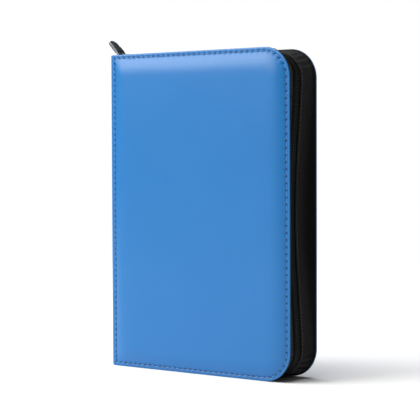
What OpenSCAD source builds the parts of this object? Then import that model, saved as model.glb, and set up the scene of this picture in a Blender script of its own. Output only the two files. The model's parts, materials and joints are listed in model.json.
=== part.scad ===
// Zip-around trading card binder with four-pocket leaves, closed and standing on its lower edge.
// +X runs from the spine to the fore-edge, +Y from the front cover to the back cover, +Z up the spine.
// The origin is the centre of the spine's lower edge.

/* [Covers] */
// Height of the covers and the spine
cover_h = 240; // [225:1:260]
// Width from the spine's outer face to the fore-edge
cover_w = 169; // [169:1:190]
// Depth between the outer faces of the two stitched borders
depth = 35; // [34:1:40]
// Radius of the two fore-edge corners
corner_r = 22; // [16:1:26]
// Radius of the two spine corners
spine_corner_r = 2; // [1:0.5:3]
// Thickness of a cover at its stitched border
cover_t = 2.4; // [2.4:0.2:3]
// How far the padded field stands proud of the border
pad_rise = 3; // [2.5:0.5:4]
// Thickness of the outer leather
leather_t = 0.9; // [0.8:0.1:1]
// Distance of the border seam from the edge
seam_inset = 2.5; // [2.5:0.5:4]

/* [Gusset and zip] */
// Thickness of the gusset fabric
gusset_t = 1.2; // [0.8:0.1:1.2]
// How far the zip tape lies below the cover edges
zip_recess = 4.7; // [4.7:0.1:6]
// Distance of the zip line from the mid-plane along the top, towards the front cover
zip_offset = 5; // [4.5:0.5:6]
// How far the zip line drifts back towards the mid-plane down the fore-edge
zip_drift = 2; // [0:0.5:2]
// How far the fore-edge of the gusset sinks in at mid-height
gusset_sag = 5; // [0:0.5:6]
// Length of the zip slider
slider_l = 10.5; // [9:0.5:12]
// Angle of the pull tab above the horizontal
pull_angle = 43.5; // [30:0.5:60]
// Length of the pull tab from its pin
pull_l = 17.8; // [15:0.1:24]

/* [Leaves] */
// Width of one leaf
leaf_w = 146; // [146:1:148]
// Height of one leaf
leaf_h = 196; // [190:1:198]
// Distance between neighbouring leaves
leaf_pitch = 2.2; // [1.8:0.1:2.2]
// Width of one card pocket
pocket_w = 66; // [65:0.5:66]
// Height of one card pocket
pocket_h = 95; // [92:0.5:95]

/* [Hidden] */
$fn = 48;
eps = 0.01;

// Planes of the case
x_out = -cover_t / 2;
x_in = cover_t / 2;
x_fore = x_out + cover_w;
y_edge = depth / 2;
y_lining = y_edge - cover_t;

// Leather fold at each long edge of the spine
fold_r = 3;
fold_gap = 0.3;
x_cover = x_out + fold_r + fold_gap;
y_spine = y_edge - fold_r;

// Layers of a cover, measured inwards from the border's outer face
lip_t = 1.8;
board_top = 0.2;
board_inset = 4.2;
lining_inset = 1;
spine_turn_in = 1.5;
seam_x = 3.8;
thread_w = 0.6;
thread_proud = 0.3;
thread_sunk = 0.2;

// Terraces of the padded field: [inset from the border's edge, height above the border, the foam's height]
terraces = [
    [seam_inset + 1, pad_rise * 0.4, pad_rise * 0.1],
    [seam_inset + 3.5, pad_rise * 0.73, pad_rise * 0.4],
    [seam_inset + 7, pad_rise, pad_rise - leather_t]
];

// Gusset and zip sections
zip_y = -zip_offset;
tape_t = 0.8;
coil_h = 1.8;
coil_lift = 0.05;
coil_in = 0.9;
coil_out = 3.2;
tape_out = 7;
band_start = 2.5;
tape_start = 1.5;
coil_start = 4;
arc_steps = 8;
fore_steps = 10;
z_tape = cover_h - zip_recess;

// Slider, bail and pull
slider_x = x_out + leather_t + 0.3;
plate_t = 1;
slider_half_w = 4.4;
web_half = 0.6;
coil_room = 0.2;
tape_room = 0.3;
z_crown = z_tape + coil_h + coil_room;
z_sole = z_tape - tape_t - tape_room;
bail_x = slider_x + 0.2;
bail_l = 8;
bail_leg = 1.2;
bail_room = 2;
bail_half_w = 0.9;
pin_r = 0.75;
pin_x = bail_x + bail_leg + 0.9;
pin_z = z_crown + plate_t + 1.05;
arm_in = 1.2;
pull_half_w = 4.5;
pull_tip_half_w = 4;
pull_t = 2.3;
window_l = 5;
neck_l = 11;
notch_side = 1.1;
notch_depth = 9;

// Binding and leaves
leaf_count = 12;
comb_base_t = 1.2;
comb_half = 13.6;
rib_l = 5;
rib_t = 0.6;
comb_margin = 2;
sheet_t = 0.4;
film_t = 0.35;
hinge_room = 0.3;
leaf_r = 3;
binding_margin = 9;
pocket_gap = 2;
x_rib_end = x_in + comb_base_t + rib_l;
x_leaf = x_rib_end + hinge_room;
z_leaf = (cover_h - leaf_h) / 2;
z_pocket = z_leaf + (leaf_h - 2 * pocket_h - pocket_gap) / 2;

function leaf_name(i, piece) = str("leaf_", i < 10 ? "0" : "", i, "_", piece);

// ---- Shapes that repeat ----

// Flat outline in X and Z with its own radius at the spine corners and at the fore-edge corners
module plan(x0, x1, z0, z1, r_spine, r_fore) {
    translate([x0 + r_spine, z0]) square([x1 - x0 - r_spine - r_fore, z1 - z0]);
    translate([x1 - r_fore - eps, z0 + r_fore]) square([r_fore + eps, z1 - z0 - 2 * r_fore]);
    for (z = [z0 + r_fore, z1 - r_fore]) translate([x1 - r_fore, z]) circle(r_fore, $fn = 96);
    if (r_spine > eps) {
        translate([x0, z0 + r_spine]) square([r_spine + eps, z1 - z0 - 2 * r_spine]);
        for (z = [z0 + r_spine, z1 - r_spine]) translate([x0 + r_spine, z]) circle(r_spine);
    }
}

// Cover outline drawn in by an inset, with its own distance from the cover's spine edge
module cover_plan(inset, spine_inset) {
    plan(x_cover + spine_inset, x_fore - inset, inset, cover_h - inset,
        max(spine_corner_r - spine_inset, 0), corner_r - inset);
}

// Layer of the front cover from t0 to t1, measured inwards from the border's outer face
module layer(t0, t1) {
    translate([0, -y_edge + t1, 0]) rotate([90, 0, 0]) linear_extrude(t1 - t0) children();
}

// Turns a piece of the front cover into the same piece of the back cover
module as_back() {
    mirror([0, 1, 0]) children();
}

// ---- Covers ----

module seam(width, t0, t1) {
    layer(t0, t1) difference() {
        cover_plan(seam_inset - width / 2, seam_x - x_cover - width / 2);
        cover_plan(seam_inset + width / 2, seam_x - x_cover + width / 2);
    }
}

module cover_leather() {
    difference() {
        union() {
            layer(0, lip_t) cover_plan(0, 0);
            for (t = terraces) layer(-t[1], eps) cover_plan(t[0], t[0] - 1);
        }
        for (t = terraces) layer(-t[2], board_top + eps) cover_plan(t[0] + 1, t[0]);
        layer(board_top, lip_t + 1) cover_plan(board_inset - 0.2, board_inset - 1.2);
        seam(thread_w, -0.1, thread_sunk);
    }
}

module cover_foam() {
    for (t = terraces) layer(-t[2], board_top) cover_plan(t[0] + 1, t[0]);
}

module cover_board() {
    layer(board_top, lip_t) cover_plan(board_inset, board_inset - 1);
}

module cover_lining() {
    layer(lip_t, cover_t) cover_plan(lining_inset, lining_inset);
}

module cover_stitching() {
    seam(thread_w, -thread_proud, thread_sunk);
}

module front_cover_leather() { color("#4a8fd6") cover_leather(); }
module front_cover_foam() { color("#d9d9d2") cover_foam(); }
module front_cover_board() { color("#8d8578") cover_board(); }
module front_cover_lining() { color("#202226") cover_lining(); }
module front_cover_stitching() { color("#2f5f96") cover_stitching(); }
module back_cover_leather() { color("#4a8fd6") as_back() cover_leather(); }
module back_cover_foam() { color("#d9d9d2") as_back() cover_foam(); }
module back_cover_board() { color("#8d8578") as_back() cover_board(); }
module back_cover_lining() { color("#202226") as_back() cover_lining(); }
module back_cover_stitching() { color("#2f5f96") as_back() cover_stitching(); }

// ---- Spine ----

// Room inside the outer leather, from x0 to x1, drawn in by an inset at the foot, the head and both sides
module spine_slab(x0, x1, side_inset, end_inset) {
    translate([x0, -y_spine + side_inset, end_inset])
        cube([x1 - x0, 2 * (y_spine - side_inset), cover_h - 2 * end_inset]);
}

// Notch in the head of the spine that the slider parks in
module slider_notch() {
    half = slider_half_w + notch_side;
    translate([x_out + leather_t, zip_y - half, cover_h - notch_depth])
        cube([cover_t, 2 * half, notch_depth + 1]);
}

module spine_leather() {
    color("#4a8fd6") difference() {
        spine_slab(x_out, x_out + lip_t, 0, 0);
        spine_slab(x_out + leather_t, x_in, spine_turn_in, spine_turn_in);
        slider_notch();
    }
}

module spine_board() {
    color("#8d8578") difference() {
        spine_slab(x_out + leather_t, x_out + lip_t, spine_turn_in + 0.2, spine_turn_in + 0.2);
        slider_notch();
    }
}

module spine_lining() {
    color("#202226") difference() {
        spine_slab(x_out + lip_t, x_in, 0, lining_inset);
        slider_notch();
    }
}

// Quarter-round fold of the outer leather between the spine and a cover
module hinge_fold() {
    linear_extrude(cover_h) translate([x_out + fold_r, -y_spine]) intersection() {
        difference() {
            circle(fold_r);
            circle(fold_r - leather_t);
        }
        translate([-fold_r - 1, -fold_r - 1]) square(fold_r + 1);
    }
}

module front_hinge_leather() { color("#4a8fd6") hinge_fold(); }
module back_hinge_leather() { color("#4a8fd6") as_back() hinge_fold(); }

// ---- Gusset and zip, swept round the three open sides ----

// How far the fore-edge sinks in at a share of its straight length
function sag_at(share) = gusset_sag * pow(sin(180 * share), 1.5);

// Share of the sag and the drift at a distance from the mid-plane: none where the gusset meets a cover
function slack(y) = 1 - pow(abs(y) / y_lining, 4);

// Point on a fore-edge corner, with its inward normal
function corner_station(z, angle, drift) =
    [x_fore - corner_r + corner_r * cos(angle), z + corner_r * sin(angle), -cos(angle), -sin(angle), 0, drift];

// Stations along the cover's edge: [x, z, inward normal x, inward normal z, sag, drift]
function stations(x_start) = concat(
    [[x_start, cover_h, 0, -1, 0, 0]],
    [for (i = [0:arc_steps]) let (share = i / arc_steps)
        corner_station(cover_h - corner_r, 90 * (1 - share), zip_drift * share)],
    [for (i = [1:fore_steps - 1]) let (share = i / fore_steps)
        [x_fore, cover_h - corner_r - (cover_h - 2 * corner_r) * share, -1, 0, sag_at(share), zip_drift]],
    [for (i = [0:arc_steps]) corner_station(corner_r, -90 * i / arc_steps, zip_drift)],
    [[x_start, 0, 0, 1, 0, 0]]
);

// Sweeps a section, a closed list of [y, distance below the cover's edge], along the stations
module band(section, x_start) {
    path = stations(x_start);
    m = len(section);
    n = len(path);
    last = (n - 1) * m;
    points = [for (p = path, q = section) let (d = q[1] + p[4] * slack(q[0]))
        [p[0] + p[2] * d, q[0] + p[5] * slack(q[0]), p[1] + p[3] * d]];
    sides = [for (i = [0:n - 2], j = [0:m - 1]) let (k = (j + 1) % m)
        each [[i * m + j, (i + 1) * m + j, (i + 1) * m + k], [i * m + j, (i + 1) * m + k, i * m + k]]];
    caps = [for (j = [0:m / 2 - 2]) let (a = j, b = j + 1, c = m - 2 - j, d = m - 1 - j)
        each [[a, b, c], [a, c, d], [last + c, last + b, last + a], [last + d, last + c, last + a]]];
    polyhedron(points, concat(sides, caps), convexity = 8);
}

// Section of a strip of one thickness whose outer face runs through the given points
function strip(outer, t) = concat(outer, [for (i = [len(outer) - 1:-1:0]) [outer[i][0], outer[i][1] + t]]);

wall_recess = zip_recess - gusset_t - 0.1;

module front_gusset() {
    outer = [[-y_lining, gusset_t], [zip_y - tape_out, wall_recess - 0.8], [zip_y - 5, wall_recess]];
    color("#17181b") band(strip(outer, gusset_t), band_start);
}

module back_gusset() {
    outer = [[zip_y + 5, wall_recess], [zip_y + tape_out + 1.5, wall_recess], [8, wall_recess],
        [12, wall_recess - 0.6], [y_lining, gusset_t]];
    color("#17181b") band(strip(outer, gusset_t), band_start);
}

module front_zip_tape() {
    outer = [for (d = [tape_out, 5, coil_out, coil_in]) [zip_y - d, zip_recess]];
    color("#121316") band(strip(outer, tape_t), tape_start);
}

module back_zip_tape() {
    outer = [for (d = [coil_in, coil_out, 5, tape_out + 1.5]) [zip_y + d, zip_recess]];
    color("#121316") band(strip(outer, tape_t), tape_start);
}

// Half of the coil chain, as the bead that its turns fill
function coil_section(side) = let (
    far = zip_y + side * coil_out,
    near = zip_y + side * coil_in,
    top = zip_recess - coil_h,
    base = zip_recess - coil_lift
) [[far, base], [far, top + 0.5], [far - side * 0.5, top], [near + side * 0.3, top], [near, top + 0.4], [near, base]];

function reversed(list) = [for (i = [len(list) - 1:-1:0]) list[i]];

module front_zip_coil() { color("#1b1c20") band(coil_section(-1), coil_start); }
module back_zip_coil() { color("#1b1c20") band(reversed(coil_section(1)), coil_start); }

// Clamp that ends the zip at the foot of the spine
module zip_bottom_stop() {
    stop_l = 2.4;
    stop_t = 0.6;
    z_outer = zip_recess - coil_h - coil_room - stop_t;
    z_inner = zip_recess + tape_t + tape_room;
    color("#3b3e42") translate([band_start, zip_y, 0]) {
        translate([0, -coil_out, z_outer]) cube([stop_l, 2 * coil_out, stop_t]);
        translate([0, -coil_out, z_inner]) cube([stop_l, 2 * coil_out, stop_t]);
        translate([0, -web_half, z_outer]) cube([stop_l, 2 * web_half, z_inner + stop_t - z_outer]);
    }
}

// ---- Slider ----

// Plan of a slider plate: blunt at the nose, where the coils part, and narrower at the tail
module slider_plan() {
    nose = 2;
    polygon([[0, -slider_half_w + nose], [nose, -slider_half_w], [slider_l * 0.45, -slider_half_w],
        [slider_l - 1, -slider_half_w + 0.9], [slider_l, -slider_half_w + 2],
        [slider_l, slider_half_w - 2], [slider_l - 1, slider_half_w - 0.9],
        [slider_l * 0.45, slider_half_w], [nose, slider_half_w], [0, slider_half_w - nose]]);
}

module zip_slider_body() {
    flange_x = 2;
    flange_l = slider_l * 0.45 - flange_x;
    web_l = 3;
    color("#3b3e42") translate([slider_x, zip_y, 0]) {
        translate([0, 0, z_crown]) linear_extrude(plate_t) slider_plan();
        translate([0, 0, z_sole - plate_t]) linear_extrude(plate_t) slider_plan();
        translate([0.4, -web_half, z_sole - plate_t])
            cube([web_l, 2 * web_half, z_crown + plate_t - z_sole + plate_t]);
        translate([flange_x, slider_half_w - 1, z_tape + tape_room])
            cube([flange_l, 1, z_crown + eps - z_tape - tape_room]);
    }
}

module zip_slider_bail() {
    z_plate = z_crown + plate_t;
    color("#44474b") translate([bail_x, zip_y + bail_half_w, z_plate]) rotate([90, 0, 0])
        linear_extrude(2 * bail_half_w) difference() {
            square([bail_l, bail_room + 1]);
            translate([bail_leg, -eps]) square([bail_l - 2 * bail_leg, bail_room + eps]);
        }
}

// Leaf spring of the slider's lock, lying on the crown plate under the rear half of the bail
module zip_lock_spring() {
    spring_l = 3.4;
    color("#9a9da1") translate([bail_x + bail_l - bail_leg - spring_l, zip_y - 0.6, z_crown + plate_t])
        cube([spring_l - 0.1, 1.2, 0.4]);
}

// Pull tab, hanging by a cross pin under the bail
module zip_pull_tab() {
    color("#34373b") translate([pin_x, zip_y, pin_z]) rotate([0, pull_angle, 0]) {
        rotate([90, 0, 0]) cylinder(r = pin_r, h = 2 * pull_half_w, center = true);
        for (side = [-1, 1])
            translate([-window_l - eps, side > 0 ? arm_in : -pull_half_w, -pin_r])
                cube([window_l + eps, pull_half_w - arm_in, 2 * pin_r]);
        translate([-neck_l, -pull_half_w, -pull_t / 2]) cube([neck_l - window_l, 2 * pull_half_w, pull_t]);
        translate([-pull_l + pull_tip_half_w, -pull_tip_half_w, -pull_t / 2])
            cube([pull_l - pull_tip_half_w - neck_l + eps, 2 * pull_tip_half_w, pull_t]);
        translate([-pull_l + pull_tip_half_w, 0, -pull_t / 2]) cylinder(r = pull_tip_half_w, h = pull_t);
    }
}

// ---- Binding and leaves ----

function leaf_y(i) = (i - (leaf_count + 1) / 2) * leaf_pitch;

module page_binding_comb() {
    color("#1d1e21") translate([0, 0, z_leaf - comb_margin]) linear_extrude(leaf_h + 2 * comb_margin) {
        translate([x_in, -comb_half]) square([comb_base_t, 2 * comb_half]);
        for (i = [1:leaf_count])
            translate([x_in, leaf_y(i) - rib_t / 2]) square([comb_base_t + rib_l, rib_t]);
    }
}

module page_binding_stitching() {
    seam_y = comb_half - 0.6;
    color("#3a3b3f") for (side = [-1, 1])
        translate([x_in + comb_base_t, side * seam_y - thread_w / 2, z_leaf])
            cube([thread_proud, thread_w, leaf_h]);
}

module leaf_sheet(i) {
    color("#24262a") translate([0, leaf_y(i) + sheet_t / 2, 0]) rotate([90, 0, 0]) linear_extrude(sheet_t)
        plan(x_leaf, x_leaf + leaf_w, z_leaf, z_leaf + leaf_h, 0, leaf_r);
}

// Eight clear pocket fronts, four on each face of a leaf
module leaf_pockets(i) {
    color("#c9d3da") for (face = [-1, 1], column = [0, 1], row = [0, 1])
        translate([
            x_leaf + binding_margin + column * (pocket_w + pocket_gap),
            leaf_y(i) + face * (sheet_t + film_t) / 2 - film_t / 2,
            z_pocket + row * (pocket_h + pocket_gap)
        ]) cube([pocket_w, film_t, pocket_h]);
}

spine_leather();
spine_board();
spine_lining();
front_hinge_leather();
back_hinge_leather();
page_binding_comb();
page_binding_stitching();
front_cover_leather();
front_cover_foam();
front_cover_board();
front_cover_lining();
front_cover_stitching();
front_gusset();
front_zip_tape();
front_zip_coil();
back_cover_leather();
back_cover_foam();
back_cover_board();
back_cover_lining();
back_cover_stitching();
back_gusset();
back_zip_tape();
back_zip_coil();
zip_bottom_stop();
zip_slider_body();
zip_slider_bail();
zip_lock_spring();
zip_pull_tab();
for (i = [1:leaf_count]) {
    leaf_sheet(i);
    leaf_pockets(i);
}
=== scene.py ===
"""Looks of a zip-around trading card binder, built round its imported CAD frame."""

import json
import math

import bmesh
import bpy
import numpy as np
from mathutils import Matrix, Vector, noise


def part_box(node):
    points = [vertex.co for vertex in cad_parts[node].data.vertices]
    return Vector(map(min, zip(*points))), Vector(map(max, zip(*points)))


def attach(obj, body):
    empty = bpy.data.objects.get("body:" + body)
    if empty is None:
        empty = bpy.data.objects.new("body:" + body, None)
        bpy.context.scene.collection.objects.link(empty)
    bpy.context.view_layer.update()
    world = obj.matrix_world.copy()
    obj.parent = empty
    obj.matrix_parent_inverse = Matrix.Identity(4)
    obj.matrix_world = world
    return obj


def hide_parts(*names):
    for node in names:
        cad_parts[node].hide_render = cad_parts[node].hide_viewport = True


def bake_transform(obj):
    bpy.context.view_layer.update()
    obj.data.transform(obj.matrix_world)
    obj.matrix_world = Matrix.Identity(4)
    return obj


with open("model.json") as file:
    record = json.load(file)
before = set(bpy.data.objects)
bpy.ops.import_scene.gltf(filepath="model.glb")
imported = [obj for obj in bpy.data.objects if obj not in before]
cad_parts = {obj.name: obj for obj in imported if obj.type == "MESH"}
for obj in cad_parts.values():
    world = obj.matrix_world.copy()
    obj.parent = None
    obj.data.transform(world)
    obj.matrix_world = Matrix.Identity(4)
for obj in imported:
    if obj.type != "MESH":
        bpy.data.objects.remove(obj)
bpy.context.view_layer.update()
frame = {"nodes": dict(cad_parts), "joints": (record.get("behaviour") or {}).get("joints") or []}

MM = 0.001
FRONT, BACK = -1, 1
SIDE_NAMES = {FRONT: "front", BACK: "back"}


# -------- sizes, in millimetres

def box_mm(node):
    low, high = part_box(node)
    return np.array(low) / MM, np.array(high) / MM


cover_low, cover_high = box_mm("front_cover_leather")
spine_low, spine_high = box_mm("spine_leather")
seam_low, seam_high = box_mm("front_cover_stitching")
lining_high = box_mm("front_cover_lining")[1]
stop_low, stop_high = box_mm("zip_bottom_stop")
slider_low, slider_high = box_mm("zip_slider_body")
bail_low, bail_high = box_mm("zip_slider_bail")

X_COVER, X_FORE = cover_low[0], cover_high[0]
HEIGHT = cover_high[2]
PAD_RISE = 3.0
Y_EDGE = -cover_low[1] - PAD_RISE
Y_LINING = -lining_high[1]
X_SPINE = spine_low[0]
Y_SPINE = spine_high[1]
FOLD_R = Y_EDGE - Y_SPINE
CORNER_R = 22.0
X_ARC = X_FORE - CORNER_R
THREAD_W = 0.6
SEAM = HEIGHT - seam_high[2] + THREAD_W / 2
SEAM_X = seam_low[0] + THREAD_W / 2
LEATHER_T = 0.9
RIM_T = 1.8
CROWN_W = 16.5

ZIP_Y = (stop_low[1] + stop_high[1]) / 2
ZIP_DRIFT = 2.0
GUSSET_SAG = 5.0
TAPE_DEPTH = 4.7
COIL_H = 1.8
COIL_OUT = 3.2
COIL_PITCH = 1.5

pull_joint = next(j for j in frame["joints"] if j["name"] == "zip_pull_swing")
PIN = np.array(pull_joint["pos_m"]) / MM
PULL_ANGLE = math.radians(43.5)
SLIDER_X = slider_low[0]
SLIDER_L = slider_high[0] - slider_low[0]
Z_CROWN = slider_high[2] - 1.0
Z_SOLE = slider_low[2] + 1.0


# -------- camera

CAMERA_AT = (793.3, -915.8, 164.6)
CAMERA_AZIMUTH, CAMERA_PITCH, CAMERA_ROLL = 37.805, 2.128, -0.20
SENSOR, LENS = 36.0, 132.34


def link(thing):
    bpy.context.scene.collection.objects.link(thing)


def make_camera():
    data = bpy.data.cameras.new("camera")
    data.sensor_width, data.lens = SENSOR, LENS
    data.clip_start, data.clip_end = 0.05, 20
    data.dof.use_dof = False
    camera = bpy.data.objects.new("camera", data)
    turn, tilt, roll = (Matrix.Rotation(math.radians(angle), 4, axis) for angle, axis in (
        (CAMERA_AZIMUTH, "Z"), (90 - CAMERA_PITCH, "X"), (CAMERA_ROLL, "Z")))
    camera.matrix_world = Matrix.Translation(Vector(CAMERA_AT) * MM) @ turn @ tilt @ roll
    link(camera)
    bpy.context.scene.camera = camera


make_camera()


# -------- materials

class Shader:
    """A material's node tree, with short calls for adding and joining nodes."""

    def __init__(self, name, **settings):
        self.material = bpy.data.materials.new(name)
        self.material.use_nodes = True
        self.tree = self.material.node_tree
        self.bsdf = self.tree.nodes["Principled BSDF"]
        for key, value in settings.items():
            self.bsdf.inputs[key.replace("_", " ")].default_value = value
        self.coords = self.tree.nodes.new("ShaderNodeTexCoord").outputs["Object"]

    def add(self, kind, links=None, **settings):
        node = self.tree.nodes.new("ShaderNode" + kind)
        for key, value in settings.items():
            if hasattr(node, key):
                setattr(node, key, value)
            else:
                node.inputs[key.replace("_", " ")].default_value = value
        for key, output in (links or {}).items():
            self.tree.links.new(output, node.inputs[key])
        return node

    def scaled(self, x, y, z):
        return self.add("Mapping", {"Vector": self.coords}, Scale=(x, y, z)).outputs["Vector"]

    def noise(self, scale, detail=2.0, roughness=0.5, vector=None):
        links = {"Vector": vector or self.coords}
        return self.add("TexNoise", links, Scale=scale, Detail=detail, Roughness=roughness).outputs["Fac"]

    def attribute(self, name):
        return self.add("Attribute", attribute_name=name).outputs["Fac"]

    def maths(self, operation, a, b):
        node = self.add("Math", operation=operation)
        for socket, value in zip(node.inputs, (a, b)):
            if isinstance(value, (int, float)):
                socket.default_value = value
            else:
                self.tree.links.new(value, socket)
        return node.outputs[0]

    def ramp(self, fac, stops):
        node = self.add("ValToRGB", {"Fac": fac})
        elements = node.color_ramp.elements
        while len(elements) < len(stops):
            elements.new(0.5)
        for element, (at, colour) in zip(elements, stops):
            element.position = at
            element.color = (*colour, 1)
        return node.outputs["Color"]

    def remap(self, fac, low, high):
        return self.add("MapRange", {"Value": fac}, To_Min=low, To_Max=high).outputs["Result"]

    def mix_in(self, fac, base, colour):
        """Mixes a plain colour into a colour output, as much as fac says."""
        node = self.add("Mix", data_type="RGBA")
        self.tree.links.new(fac, node.inputs[0])
        self.tree.links.new(base, node.inputs[6])
        node.inputs[7].default_value = (*colour, 1)
        return node.outputs[2]

    def bump(self, height, distance, strength, normal=None):
        links = {"Height": height, **({"Normal": normal} if normal else {})}
        return self.add("Bump", links, Strength=strength, Distance=distance).outputs["Normal"]

    def finish(self, **links):
        for key, output in links.items():
            self.tree.links.new(output, self.bsdf.inputs[key.replace("_", " ")])
        return self.material

    def surface(self, fac, stops, bump=None, rough=None):
        """Finishes a material whose colour, relief and roughness all follow one output."""
        links = {"Base_Color": self.ramp(fac, stops)}
        if rough:
            links["Roughness"] = self.remap(fac, *rough)
        if bump:
            links["Normal"] = self.bump(fac, *bump)
        return self.finish(**links)


BLUE = (0.007, 0.141, 0.394)
BLUE_LIGHT = (0.018, 0.168, 0.437)
# painted shade colour, mixed into the leather in the seam groove and the needle holes
BLUE_PAINTED_SHADE = (0.003, 0.035, 0.120)


def leather():
    s = Shader("blue_leather", Roughness=0.35, Specular_IOR_Level=0.44)
    cells = s.add("TexVoronoi", {"Vector": s.coords}, feature="SMOOTH_F1", Scale=950.0, Smoothness=0.35)
    pores = s.add("TexVoronoi", {"Vector": s.coords}, feature="F1", Scale=420.0)
    fine = s.noise(2600.0, 3.0, 0.6)
    broad = s.noise(28.0, 3.0, 0.5)
    height = s.maths("ADD", s.maths("MULTIPLY", cells.outputs["Distance"], 0.8), s.maths("MULTIPLY", fine, 0.25))
    normal = s.bump(height, 0.00010, 0.45)
    normal = s.bump(pores.outputs["Distance"], 0.00008, 0.2, normal)
    base = s.ramp(broad, [(0.3, BLUE), (0.7, (0.009, 0.147, 0.408))])
    base = s.mix_in(s.remap(cells.outputs["Distance"], 0.0, 0.35), base, BLUE_LIGHT)
    base = s.mix_in(s.maths("MULTIPLY", s.attribute("worn"), 0.45), base, BLUE_LIGHT)
    # painted shade: the seam groove and the needle holes are darkened towards the painted shade colour
    base = s.mix_in(s.maths("MULTIPLY", s.attribute("painted_shade"), 0.75), base, BLUE_PAINTED_SHADE)
    return s.finish(Base_Color=base, Roughness=s.remap(fine, 0.30, 0.40), Normal=normal)


def thread(name, colour, light):
    s = Shader(name, Roughness=0.6, Sheen_Weight=0.25)
    twist = s.add("TexWave", {"Vector": s.coords}, wave_type="BANDS", bands_direction="DIAGONAL", Scale=900.0,
                  Distortion=0.4)
    return s.surface(twist.outputs["Fac"], [(0.0, colour), (1.0, light)], (0.00008, 0.7))


def woven(name, dark, light, count=1800.0, sheen=0.09, band=True):
    """Plain weave: two crossed sets of threads, count to the metre, laid along the cloth directions on a band."""
    s = Shader(name, Roughness=0.85, Sheen_Weight=sheen, Sheen_Roughness=0.5, Specular_IOR_Level=0.08)
    s.bsdf.inputs["Sheen Tint"].default_value = (0.84, 0.84, 0.87, 1)
    if band:
        s.coords = s.add("Attribute", attribute_name="cloth").outputs["Vector"]
    threads = [s.add("TexWave", {"Vector": s.coords}, wave_type="BANDS", bands_direction=direction,
                     Scale=count * math.pi / 10, Distortion=0.8, Detail=1.0).outputs["Fac"]
               for direction in ("X", "Y" if band else "Z")]
    slub = s.noise(900.0, 4.0, 0.7)
    weave = s.maths("MULTIPLY", *threads)
    mixed = s.maths("ADD", s.maths("MULTIPLY", weave, 0.75), s.maths("MULTIPLY", slub, 0.5))
    return s.surface(mixed, [(0.15, dark), (0.9, light)], (0.00025, 0.9))


def metal(name, colour, rough_low, rough_high):
    s = Shader(name, Metallic=1.0)
    grain = s.noise(160.0, 4.0, 0.6, s.scaled(1, 6, 1))
    specks = s.noise(900.0, 2.0)
    base = s.ramp(grain, [(0.3, colour), (0.8, tuple(c * 1.35 for c in colour))])
    return s.finish(Base_Color=base, Roughness=s.remap(grain, rough_low, rough_high),
                    Normal=s.bump(specks, 0.00003, 0.4))


def nylon(name, dark, light):
    s = Shader(name, Roughness=0.45, Specular_IOR_Level=0.3)
    return s.surface(s.noise(350.0, 3.0), [(0.3, dark), (0.75, light)], (0.00004, 0.4), (0.38, 0.55))


def foam():
    s = Shader("grey_foam", Roughness=0.95)
    cells = s.add("TexVoronoi", {"Vector": s.coords}, Scale=1400.0)
    stops = [(0.0, (0.42, 0.42, 0.40)), (0.6, (0.62, 0.62, 0.59))]
    return s.surface(cells.outputs["Distance"], stops, (0.0003, 0.8))


def board():
    s = Shader("grey_board", Roughness=0.9)
    fibres = s.noise(240.0, 6.0, 0.7, s.scaled(1, 1, 0.3))
    return s.surface(fibres, [(0.3, (0.20, 0.17, 0.13)), (0.75, (0.34, 0.30, 0.24))], (0.0002, 0.5))


def leaf_plastic():
    s = Shader("black_leaf_sheet", Roughness=0.45, Specular_IOR_Level=0.45)
    stops = [(0.2, (0.010, 0.011, 0.013)), (0.9, (0.022, 0.023, 0.026))]
    return s.surface(s.noise(1800.0, 3.0, 0.6), stops, (0.00006, 0.5), (0.36, 0.55))


def clear_film():
    s = Shader("clear_film", Roughness=0.08, Alpha=0.12, Coat_Weight=0.5)
    stops = [(0.3, (0.82, 0.86, 0.90)), (0.8, (0.92, 0.95, 0.98))]
    return s.surface(s.noise(45.0, 2.0), stops, (0.0012, 0.25), (0.05, 0.16))


def paper_floor():
    s = Shader("pale_floor", Roughness=0.9, Specular_IOR_Level=0.1)
    return s.surface(s.noise(3.0, 2.0), [(0.2, (0.90, 0.90, 0.90)), (0.8, (0.92, 0.92, 0.92))])


MAT = {
    "leather": leather(),
    "blue_thread": thread("blue_thread", (0.040, 0.200, 0.520), (0.095, 0.330, 0.740)),
    "black_thread": thread("black_thread", (0.008, 0.008, 0.009), (0.045, 0.045, 0.050)),
    "gusset": woven("black_gusset_weave", (0.0006, 0.0006, 0.0008), (0.0072, 0.0072, 0.0080), sheen=0.13),
    "tape": woven("black_tape_weave", (0.0006, 0.0006, 0.0008), (0.0050, 0.0050, 0.0058), 2600.0),
    "lining": woven("black_lining_weave", (0.006, 0.006, 0.008), (0.036, 0.037, 0.042), 1500.0, band=False),
    "coil": nylon("black_coil_nylon", (0.0015, 0.0015, 0.002), (0.005, 0.005, 0.006)),
    "zip_metal": metal("gunmetal", (0.125, 0.134, 0.142), 0.28, 0.42),
    "pull_metal": metal("gunmetal_pull", (0.115, 0.128, 0.136), 0.38, 0.52),
    "spring": metal("spring_steel", (0.50, 0.50, 0.52), 0.25, 0.35),
    "foam": foam(),
    "board": board(),
    "binding": nylon("black_binding", (0.008, 0.008, 0.009), (0.018, 0.018, 0.020)),
    "sheet": leaf_plastic(),
    "film": clear_film(),
    "floor": paper_floor(),
}


# -------- mesh making

def smooth_step(t):
    t = np.clip(t, 0, 1)
    return t * t * (3 - 2 * t)


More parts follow.
